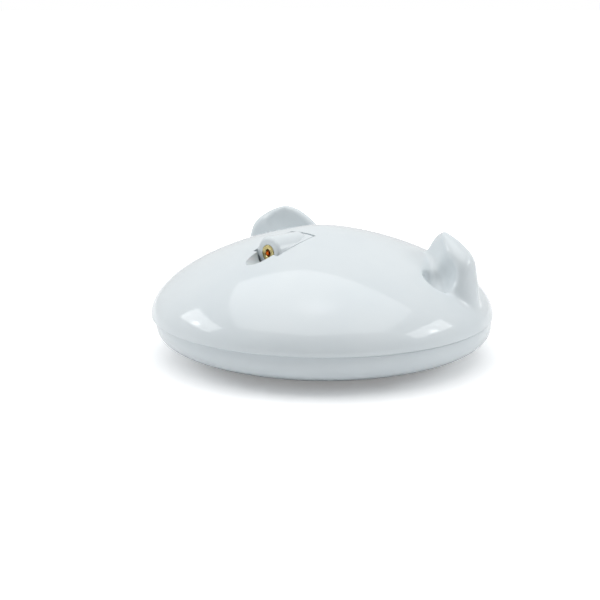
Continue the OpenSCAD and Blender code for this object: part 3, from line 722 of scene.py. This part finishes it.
def makeTopShell():
    v, b, c = domeValues, buttonValues, shellCuts
    piece = liftedForm()
    remesh = piece.modifiers.new("even", "REMESH")
    remesh.mode = "VOXEL"
    remesh.voxel_size = v["voxel"] * mm
    applyModifier(piece, remesh)
    settleOnShell(piece, 3, 3)
    refineEars(piece)
    settleOnShell(piece, 6, 4)
    softenEars(piece, earValues["softening"])
    print("top shell settled:", len(piece.data.vertices), "vertices")
    roundLip(piece)
    combine(piece, shellHollow())

    # Openings
    for tool in laserSlot():
        combine(piece, tool)
    combine(piece, rod("buttonHole", (0, b["place"]), b["radius"] + c["buttonGap"], 20, 70, 96))
    pin = [(0, -20), (c["pinBore"], -20), (c["pinBore"], 20), (0, 20)]
    combine(piece, turned("pivotHole", pin, 32, (0, *laserValues["pivot"]), "X"))
    for place in caseScrewPlaces:
        combine(piece, rod("pilot", place, c["pilot"], 10, c["pilotTop"], 32))
    shellNormals(piece)
    return piece


def scoopBall(side, grow=0.0):
    v = earValues
    turn = Matrix.Rotation(math.radians(-v["scoopTurn"]), 4, "Z")
    place = Matrix.Translation(Vector(v["scoopPlace"]) * mm)
    tilt = Matrix.Rotation(math.radians(v["scoopTilt"]), 4, "Y")
    piece = ball("scoop", (0, 0, 0), [s + grow for s in v["scoopHalves"]])
    piece.data.transform(turn @ place @ tilt)
    if side < 0:
        piece.data.transform(Matrix.Diagonal((-1, 1, 1, 1)))
        piece.data.flip_normals()
    return piece


def shellNormals(piece):
    # The outer skin is shaded by its true direction, the cut walls by their own faces
    smoothShade(piece, 30)
    mesh = piece.data
    count = len(mesh.loops)
    corner = np.empty(count * 3, np.float32)
    mesh.corner_normals.foreach_get("vector", corner)
    corner = corner.reshape(-1, 3).astype(float)
    vertex = np.empty(count, np.int32)
    mesh.loops.foreach_get("vertex_index", vertex)
    points = readPoints(piece)
    value, direction, size = shellField(points)
    unit = direction / size[:, None]
    faceNormal = np.empty(len(mesh.polygons) * 3, np.float32)
    mesh.polygons.foreach_get("normal", faceNormal)
    faceNormal = faceNormal.reshape(-1, 3)
    totals = np.empty(len(mesh.polygons), np.int32)
    mesh.polygons.foreach_get("loop_total", totals)
    face = np.repeat(np.arange(len(mesh.polygons)), totals)
    onSkin = (np.abs(value[vertex]) < 0.06) & (points[vertex, 2] > domeValues["base"])
    agrees = (unit[vertex] * faceNormal[face]).sum(1) > 0.85
    use = onSkin & agrees
    corner[use] = unit[vertex[use]]
    mesh.normals_split_custom_set(corner.tolist())


def domeSolid(name, low):
    # Everything under the dome's outer surface
    v = domeValues
    return turned(name, domeOutline(count=140) + [(v["radius"], low), (0, low)], steps=240,
        base=(0, -v["noseShift"], 0))


# Lower shell and its door

lowValues = {
    "seam": 70, "top": 16.85, "belly": 49.3, "bottom": 2.2, "turnUp": 3.73, "wall": 2.2,   # mm
    "tongue": 67.5, "tongueWall": 1.4, "tongueTop": 18.6,
    "recess": 24.6, "recessTop": 4.15, "hub": 26.8, "hubFloor": 6.35, "bore": 6.06, "bossTop": 9.05,
    "edge": 0.35,              # rounding of the rim at the joint
    "postTop": 14.5, "plateTop": 19, "boardBase": 24,
    "boxTop": 18.25, "boxLid": 1.2, "boxHalf": 26.45, "boxFront": 27.6, "boxRear": 60.2, "boxWall": 1.2,
    "headBore": 3, "screwBore": 1.6, "pilot": 1.32, "boardPilot": 0.92, "axleBore": 1.01,
}
screwCircle, screwAngles = 57.5, (-22, 38, 142, 202)
caseScrewPlaces = [(screwCircle * math.cos(math.radians(a)), screwCircle * math.sin(math.radians(a)))
    for a in screwAngles]
platePosts = [(18.5, -18), (-14, -17), (-12, -41), (20, -44)]
boardPosts = [(18, 32.5), (-18, 32.5), (18, 52.5), (-18, 52.5)]
axleBosses = [(3.88, -14.49, 8.8), (-1.4, -25.82, 12)]     # place and top
doorValues = {
    "half": 23, "front": 29.2, "rear": 58.6, "ledge": 1.4, "gap": 0.25,
    "lug": (0, 64), "lugRadius": 3.6, "lugTop": 10.2, "seat": 8.6, "headRoom": 2.9, "shank": 1.5,
    "ribs": 6, "ribPitch": 2.2, "ribHalf": 9, "ribWidth": 0.9, "ribDepth": 0.5, "ribStart": 4,
    "hookHalf": 3, "hookReach": 2.6, "hookLow": 4.55, "hookHigh": 5.9,
    "barHalf": 18.4, "barLow": 3.8, "barHigh": 5.2,
}


def bellyOutline(wall=0.0, count=44):
    # (radius, height) pairs from the flat belly out and up to the joint
    v = lowValues
    low = v["bottom"] + wall
    pairs = []
    for i in range(count + 1):
        u = (i / count) ** 1.5
        reach = (v["seam"] - v["belly"] - 0.4 * wall) * (1 - (1 - u) ** v["turnUp"])
        pairs.append((v["belly"] - 0.6 * wall + reach, low + (v["top"] - low) * u))
    return pairs


def bellySolid(name, wall=0.0):
    v = lowValues
    return turned(name, [(0, v["bottom"] + wall)] + bellyOutline(wall) + [(0, v["top"])], steps=240)


def makeLowerShell():
    v, d = lowValues, doorValues
    r, tongue, inner = v["edge"], v["tongue"], v["tongue"] - v["tongueWall"]
    outline = [(v["bore"], v["recessTop"]), (v["recess"], v["recessTop"]), (v["recess"], v["bottom"] + 0.4),
        (v["recess"] + 0.12, v["bottom"] + 0.12), (v["recess"] + 0.4, v["bottom"])]
    outline += [pair for pair in bellyOutline() if pair[1] < v["top"] - r]
    outline += arcPoints((v["seam"] - r, v["top"] - r), r, 0, 90, 4)
    outline += [(tongue, v["top"]), (tongue, v["tongueTop"] - 0.25), (tongue - 0.25, v["tongueTop"]),
        (inner + 0.25, v["tongueTop"]), (inner, v["tongueTop"] - 0.25), (inner, 14.6)]
    outline += [pair for pair in bellyOutline(v["wall"])[::-1] if pair[1] < 13.2]
    boss = v["bore"] + 3
    outline += [(v["hub"], v["bottom"] + v["wall"]), (v["hub"], v["hubFloor"]), (boss, v["hubFloor"]),
        (boss, v["bossTop"]), (v["bore"] + 0.3, v["bossTop"]), (v["bore"], v["bossTop"] - 0.3),
        (v["bore"], v["recessTop"])]
    piece = turned("lowerShell", outline, steps=240)

    # Posts, bosses and the battery box
    for place in caseScrewPlaces:
        combine(piece, rod("post", place, 3.6, 5.3, v["postTop"]), "UNION")
    for place in platePosts:
        combine(piece, rod("post", place, 2.6, 4.3, v["plateTop"]), "UNION")
    for x, y, top in axleBosses:
        combine(piece, rod("boss", (x, y), 3, 5, top), "UNION")
    half, front, rear, wall = v["boxHalf"], v["boxFront"], v["boxRear"], v["boxWall"]
    cellBox = box("cellBox", (-half - wall, front - wall, 4.3),
        (half + wall, rear + wall, v["boxTop"] + v["boxLid"]))
    combine(cellBox, box("cells", (-half, front, 0), (half, rear, v["boxTop"])))
    roomy = bellySolid("roomy", 1.0)
    combine(roomy, rod("neck", (0, 0), inner + 0.3, v["top"] - 1, 21, 160), "UNION")
    combine(cellBox, roomy, "INTERSECT")
    combine(piece, cellBox, "UNION")
    lugPost = rod("lugPost", d["lug"], d["lugRadius"] + wall, 4, 15.2)
    combine(lugPost, bellySolid("belly", 1.0), "INTERSECT")
    combine(piece, lugPost, "UNION")
    for place in boardPosts:
        combine(piece, rod("boardPost", place, 2.2, v["boxTop"] + 0.5, v["boardBase"]), "UNION")
        combine(piece, rod("pilot", place, v["boardPilot"], v["boxTop"] + v["boxLid"], 30, 32))

    # Openings
    for place in caseScrewPlaces:
        combine(piece, rod("headHole", place, v["headBore"], -1, 9))
        combine(piece, rod("shankHole", place, v["screwBore"], -1, 20, 32))
    for place in platePosts:
        combine(piece, rod("pilot", place, v["pilot"], 11, 24, 32))
    for x, y, _ in axleBosses:
        combine(piece, rod("axleHole", (x, y), v["axleBore"], 6.8, 20, 32))
    ledge = box("ledge", (-d["half"] - d["ledge"], d["front"] - d["ledge"], -1),
        (d["half"] + d["ledge"], d["rear"] + d["ledge"], 12))
    combine(ledge, bellySolid("belly", v["wall"] / 2))
    combine(piece, ledge)
    combine(piece, box("doorway", (-d["half"], d["front"], -1), (d["half"], d["rear"], 12)))
    combine(piece, rod("lugRoom", d["lug"], d["lugRadius"], -1, d["lugTop"]))
    half = d["lugRadius"] * 0.8
    combine(piece, box("lugWay", (-half, d["rear"] - 2, -1), (half, d["lug"][1], d["lugTop"])))
    combine(piece, rod("lugPilot", d["lug"], 1.32, 5, 15, 32))
    smoothShade(piece, 30)
    return piece


def makeBatteryDoor():
    v, d = lowValues, doorValues
    gap = d["gap"]

    def skin(name, depth, low, high):
        # A piece of the belly's skin between two corners
        outline = [(20, v["bottom"])] + bellyOutline() + bellyOutline(depth)[::-1]
        ring = turned(name, outline + [(20, v["bottom"] + depth), (20, v["bottom"])], steps=240)
        return combine(ring, box("cut", (*low, 0), (*high, 14)), "INTERSECT")

    reach = d["half"] + d["ledge"] - gap
    piece = skin("batteryDoor", v["wall"] / 2, (-reach, d["front"] - d["ledge"] + gap),
        (reach, d["rear"] + d["ledge"] - gap))
    bevelEdges(piece, 0.15, 2, 50)
    inner = d["half"] - gap
    combine(piece, skin("inner", v["wall"], (-inner, d["front"] + gap), (inner, d["rear"] - gap)), "UNION")
    radius, top = d["lugRadius"] - gap, d["lugTop"] - gap
    lug = rod("lug", d["lug"], radius, 0, top)
    combine(lug, box("neck", (-radius * 0.8, d["rear"] - 2, 0), (radius * 0.8, d["lug"][1], top)), "UNION")
    combine(lug, bellySolid("belly"), "INTERSECT")
    combine(piece, lug, "UNION")
    barRear = d["front"] + 3
    for side in (-1, 1):
        middle = side * d["half"] * 0.55
        combine(piece, box("hook", (middle - d["hookHalf"], d["front"] - d["hookReach"], d["hookLow"]),
            (middle + d["hookHalf"], barRear, d["hookHigh"])), "UNION")
    combine(piece, box("bar", (-d["barHalf"], d["front"] + 1, d["barLow"]),
        (d["barHalf"], barRear, d["barHigh"])), "UNION")
    combine(piece, rod("headHole", d["lug"], d["headRoom"], -1, d["seat"]))
    combine(piece, rod("shankHole", d["lug"], d["shank"], -1, 20, 32))
    for i in range(d["ribs"]):
        y = d["front"] + d["ribStart"] + i * d["ribPitch"]
        groove = rod("groove", (0, y), d["ribHalf"], -1, v["bottom"] + d["ribDepth"])
        half = d["ribWidth"] / 2
        combine(groove, box("band", (-12, y - half, -1), (12, y + half, 5)), "INTERSECT")
        combine(piece, groove)
    smoothShade(piece, 30)
    return piece


# Laser tube with its brass module

def makeHood():
    h = laserValues
    r, front, rear, length = h["hoodRadius"], h["frontEdge"], h["rearEdge"], h["hoodLength"]
    base = (0, -h["nose"], h["height"])
    outline = [(0, 0)] + arcPoints((r - front, front), front, -90, 0, 10)
    outline += arcPoints((r - rear, length - rear), rear, 0, 90, 10) + [(0, length)]
    piece = turned("laserHood", outline, 128, base, "Y")
    flush = domeSolid("flush", 20)
    combine(flush, box("strip", (-h["hoodHalf"], -h["nose"] + 0.4, h["flushBase"]),
        (h["hoodHalf"], -h["hoodRear"], 60)), "INTERSECT")
    bevelEdges(flush, h["softEdge"], 3, 40)
    combine(piece, flush, "UNION")
    y, z = h["pivot"]
    half, long, low = h["lug"]
    combine(piece, box("lug", (-half, y - long, z - low), (half, y + long, h["height"])), "UNION")
    bore, edge = h["barrelRadius"] + h["fit"], 0.25
    mouth = [(0, -1), (bore + edge, -1), (bore + edge, 0), (bore, edge), (bore, 15), (0, 15)]
    combine(piece, turned("bore", mouth, 96, base, "Y"))
    lead, pin = h["leadBore"], h["pinBore"]
    # Room for the leads behind the module, and for the pin
    combine(piece, turned("leadHole", [(0, 10), (lead, 10), (lead, 30), (0, 30)], 32, base, "Y"))
    combine(piece, turned("pinHole", [(0, -20), (pin, -20), (pin, 20), (0, 20)], 32, (0, y, z), "X"))
    smoothShade(piece, 30)
    return piece


def makeBarrel():
    # Turned module with a proud front ring, a fine groove and a chamfered opening
    h = laserValues
    r, a, proud = h["barrelRadius"], h["apertureRadius"], h["proud"]
    outline = [(a, 0.05), (a + 0.08, -0.1), (a + 0.3, -proud), (2.25, -proud), (2.32, 0.08 - proud),
        (2.42, 0.08 - proud), (2.49, -proud), (r - 0.35, -proud), (r - 0.1, 0.1 - proud), (r, 0.35 - proud),
        (r, 14), (r - 0.8, 14), (r - 0.8, 2), (a, 2), (a, 0.05)]
    piece = turned("laserBarrel", outline, 128, (0, -h["nose"], h["height"]), "Y")
    smoothShade(piece, 25)
    return piece


# Power button

buttonValues = {
    "place": 47, "radius": 5.5, "flange": 6.8, "flangeBase": 32.0,        # mm
    "height": 39.96, "lean": (0.433, 0.902),   # the dome's height and direction there
    "edge": 0.45, "dishRadius": 14, "dish": 0.45,
}


def makeButton():
    b = buttonValues
    y = b["place"]
    piece = rod("powerButton", (0, y), b["radius"], b["flangeBase"], 60, 128)
    combine(piece, domeSolid("dome", 20), "INTERSECT")
    bevelEdges(piece, b["edge"], 4, 40)
    up = Vector((0, b["lean"][0], b["lean"][1]))
    middle = Vector((0, y, b["height"])) + up * (b["dishRadius"] - b["dish"])
    combine(piece, ball("dish", middle, [b["dishRadius"]] * 3, segments=128))
    combine(piece, rod("flange", (0, y), b["flange"], b["flangeBase"], b["flangeBase"] + 1.3, 96), "UNION")
    combine(piece, rod("stem", (0, y), 2, 31, b["flangeBase"] + 0.5), "UNION")
    smoothShade(piece, 30)
    return piece


# Foot and its rubber pad

footValues = {
    "radius": 24, "low": 1.2, "top": 3.6, "edge": 0.8, "post": 6, "postTop": 9.2,   # mm
    "key": 5, "keyHalf": 4.2, "keyTop": 12.1,
    "pad": 21.5, "padTop": 1.6, "padEdge": 0.3, "grooves": (0.5, 0.7, 0.9), "grooveDepth": 0.4,
}


def makeFoot():
    v = footValues
    r, e = v["radius"], v["edge"]
    outline = [(0, v["padTop"]), (v["pad"] + 0.02, v["padTop"]), (v["pad"] + 0.02, v["low"])]
    outline += arcPoints((r - e, v["low"] + e), e, -90, 0, 6)
    outline += arcPoints((r - 0.25, v["top"] - 0.25), 0.25, 0, 90, 3)
    post, postTop = v["post"], v["postTop"]
    outline += [(post, v["top"]), (post, postTop - 0.2), (post - 0.2, postTop), (0, postTop)]
    piece = turned("turntableFoot", outline, 160)
    key = rod("key", (0, 0), v["key"], v["postTop"] - 1, v["keyTop"], 96)
    combine(key, box("flats", (-v["keyHalf"], -9, 0), (v["keyHalf"], 9, 20)), "INTERSECT")
    combine(piece, key, "UNION")
    combine(piece, rod("pilot", (0, 0), 1.32, 3, 20, 32))
    smoothShade(piece, 30)
    return piece


def makePad():
    v = footValues
    r, e, deep = v["pad"], v["padEdge"], v["grooveDepth"]
    outline = [(0, 0)]
    for part in v["grooves"]:
        middle = r * part
        outline += [(middle - 0.5, 0), (middle - 0.42, 0.1), (middle - 0.42, deep), (middle + 0.42, deep),
            (middle + 0.42, 0.1), (middle + 0.5, 0)]
    outline += arcPoints((r - e, e), e, -90, 0, 4) + [(r, v["padTop"]), (0, v["padTop"])]
    piece = turned("footPad", outline, 160)
    smoothShade(piece, 30)
    return piece


made = []
for make, node, body, slotName in (
        (makeTopShell, "top_shell", "toy_body", "shell_white"),
        (makeLowerShell, "lower_shell", "toy_body", "shell_white"),
        (makeBatteryDoor, "battery_door", "toy_body", "shell_white"),
        (makeHood, "laser_hood", "laser_unit", "shell_white"),
        (makeBarrel, "laser_barrel", "laser_unit", "module_brass"),
        (makeButton, "power_button", "button", "shell_white"),
        (makeFoot, "turntable_foot", "foot", "foot_plastic"),
        (makePad, "foot_pad", "foot", "foot_rubber")):
    piece = make()
    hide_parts(node)
    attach(piece, body)
    made.append((piece, slotName))
    print(piece.name, "done:", len(piece.data.polygons), "faces")


# Materials for every node, by the record's slots

slotFinish = {
    "shell_white": glossWhiteAbs(),
    "foot_plastic": satinGreyAbs(),
    "foot_rubber": mouldedRubber(),
    "gear_plastic": naturalAcetal(),
    "frame_plastic": mouldedGreyPlate(),
    "zinc_steel": zincPlatedSteel(),
    "module_brass": turnedBrass(),
    "lens_red": glowingRedLens(),
    "board_green": greenSolderMask(),
    "black_plastic": blackEpoxy(),
    "cell_wrap": shrinkSleeve("cellSleeve", "#2E7D4A", "#276F41", "#C8A24A"),
    "capacitor_sleeve": shrinkSleeve("capacitorSleeve", "#1D2B57", "#25366B"),
    "lead_red": wireInsulation("redInsulation", "#B3231F", "#A01D1A"),
    "lead_black": wireInsulation("blackInsulation", "#1B1B1D", "#262628"),
}


def dress(piece, slot):
    piece.data.materials.clear()
    piece.data.materials.append(slotFinish[slot])


for part in frame["record"]["subparts"]:
    dress(frame["nodes"][part["node"]], part["material_slot"])
for piece, slotName in made:
    dress(piece, slotName)
print("materials done:", len(slotFinish))


# Stage: floor, panels of light, world and camera

stageValues = {
    "floorColour": "#F2F3F4",
    "floorLift": (0.25, 1.2, 0.15, 0.5),   # glow that only the camera sees, near and far, and how far away
    "skyStrength": 0.74, "frontStrength": 0.08,
    "frontDirection": (0.7, -0.7, -0.1), "frontRange": (0.25, 0.85),
    "topPanel": 1.8, "topHot": 1.2, "topHeight": 0.75, "topSpot": (-0.02, -0.01), "topSpotSize": 0.16,
    "topCorners": ((-0.4, -0.93), (0.47, -0.68), (0.92, 0.07), (0.38, 0.63), (-0.14, 0.47), (-0.49, 0.36),
        (-0.89, 0.13)),                    # shares of the height
    "sidePanel": 3.2, "sideHot": 5.0, "sideTurns": {"leftPanel": -53, "rightPanel": 126},   # degrees
    "sideHeight": 31, "sideAway": 1.2, "sideHalves": (0.34, 0.17), "sideSpot": 27.5, "sideSpotSize": 0.12,
}
cameraValues = {
    "distance": 520, "height": 15.99, "turn": 44.45,     # mm and degrees, from the nose towards +X
    "aimTurn": 1.128, "aimHeight": -2.298,
    "lens": 73.59,
}


def makeFloor():
    deselectAll()
    bpy.ops.mesh.primitive_plane_add(size=30)
    floor = newPiece("floor")
    material = newMaterial("whitePaperSweep")
    diffuse = addNode(material, "BsdfDiffuse", {"Color": hexColour(stageValues["floorColour"])})
    place = addNode(material, "TexCoord")
    away = addNode(material, "VectorMath", {0: place.outputs["Object"]}, operation="LENGTH")
    power = between(material, away.outputs["Value"], *stageValues["floorLift"])
    path = addNode(material, "LightPath")
    lift = addNode(material, "Math", {0: path.outputs["Is Camera Ray"], 1: power}, operation="MULTIPLY")
    glow = addNode(material, "Emission", {"Color": (1, 1, 1, 1), "Strength": lift.outputs[0]})
    both = addNode(material, "AddShader", {0: diffuse.outputs[0], 1: glow.outputs[0]})
    finishMaterial(material, both)
    floor.data.materials.append(material)


def makePanel(name, corners, strength, hot, spot, spotSize):
    # A soft box: its corners in metres, brighter round one spot
    deselectAll()
    bpy.ops.mesh.primitive_circle_add(vertices=len(corners), fill_type="NGON")
    panel = newPiece(name)
    for vertex, corner in zip(panel.data.vertices, corners):
        vertex.co = corner
    material = newMaterial(name + "Cloth")
    place = addNode(material, "TexCoord")
    away = addNode(material, "VectorMath", {0: place.outputs["Object"], 1: spot}, operation="DISTANCE")
    bright = between(material, away.outputs["Value"], strength + hot, strength, 0, spotSize, "SMOOTHSTEP")
    glow = addNode(material, "Emission", {"Color": (1, 1, 1, 1), "Strength": bright})
    finishMaterial(material, glow)
    panel.data.materials.append(material)
    panel.visible_camera = False


def compassPoint(turn, height, distance):
    # A place seen from the toy: turn in degrees from the nose (-Y) towards +X
    a, e = math.radians(turn), math.radians(height)
    return Vector((math.sin(a) * math.cos(e), -math.cos(a) * math.cos(e), math.sin(e))) * distance


def makeLights():
    v = stageValues
    high = v["topHeight"]
    overhead = [Vector((x, y, 1)) * high for x, y in v["topCorners"]]
    makePanel("overheadPanel", overhead, v["topPanel"], v["topHot"], (*v["topSpot"], high), v["topSpotSize"])
    halfWidth, halfHeight = v["sideHalves"]
    for name, turn in v["sideTurns"].items():
        centre = compassPoint(turn, v["sideHeight"], v["sideAway"])
        side = Vector((math.cos(math.radians(turn)), math.sin(math.radians(turn)), 0)) * halfWidth
        rise = centre.normalized().cross(side).normalized() * halfHeight
        if rise.z < 0:
            rise.negate()
        corners = [centre - side - rise, centre + side - rise, centre + side + rise, centre - side + rise]
        spot = compassPoint(turn, v["sideSpot"], v["sideAway"])
        makePanel(name, corners, v["sidePanel"], v["sideHot"], spot, v["sideSpotSize"])


def makeWorld():
    # The room is darker behind the camera, so the toy's front falls off towards its joint
    v = stageValues
    world = bpy.data.worlds.new("paleRoom")
    bpy.context.scene.world = world
    world.use_nodes = True
    world.node_tree.nodes.clear()
    path = addNode(world, "LightPath")
    place = addNode(world, "TexCoord")
    facing = addNode(world, "VectorMath", {0: place.outputs["Generated"], 1: v["frontDirection"]},
        operation="DOT_PRODUCT")
    room = between(world, facing.outputs["Value"], v["skyStrength"], v["frontStrength"], *v["frontRange"],
        "SMOOTHSTEP")
    white = addNode(world, "Mix", {0: path.outputs["Is Camera Ray"], 2: room, 3: 1.0})
    sky = addNode(world, "Background", {"Color": (1, 1, 1, 1), "Strength": white.outputs[0]})
    addNode(world, "OutputWorld", {"Surface": sky.outputs[0]})


def makeCamera():
    v = cameraValues
    camera = bpy.data.objects.new("camera", bpy.data.cameras.new("camera"))
    bpy.context.scene.collection.objects.link(camera)
    camera.data.lens = v["lens"]
    camera.data.sensor_width = 36
    camera.data.clip_start = 0.01
    camera.data.clip_end = 100
    place = compassPoint(v["turn"], v["height"], v["distance"] * mm)
    back = compassPoint(v["turn"] + v["aimTurn"], v["height"] + v["aimHeight"], 1)
    camera.location = place
    camera.rotation_euler = back.to_track_quat("Z", "Y").to_euler()
    bpy.context.scene.camera = camera


makeCamera()
makeFloor()
makeLights()
makeWorld()
bpy.context.scene.view_settings.view_transform = "Standard"
print("stage done")
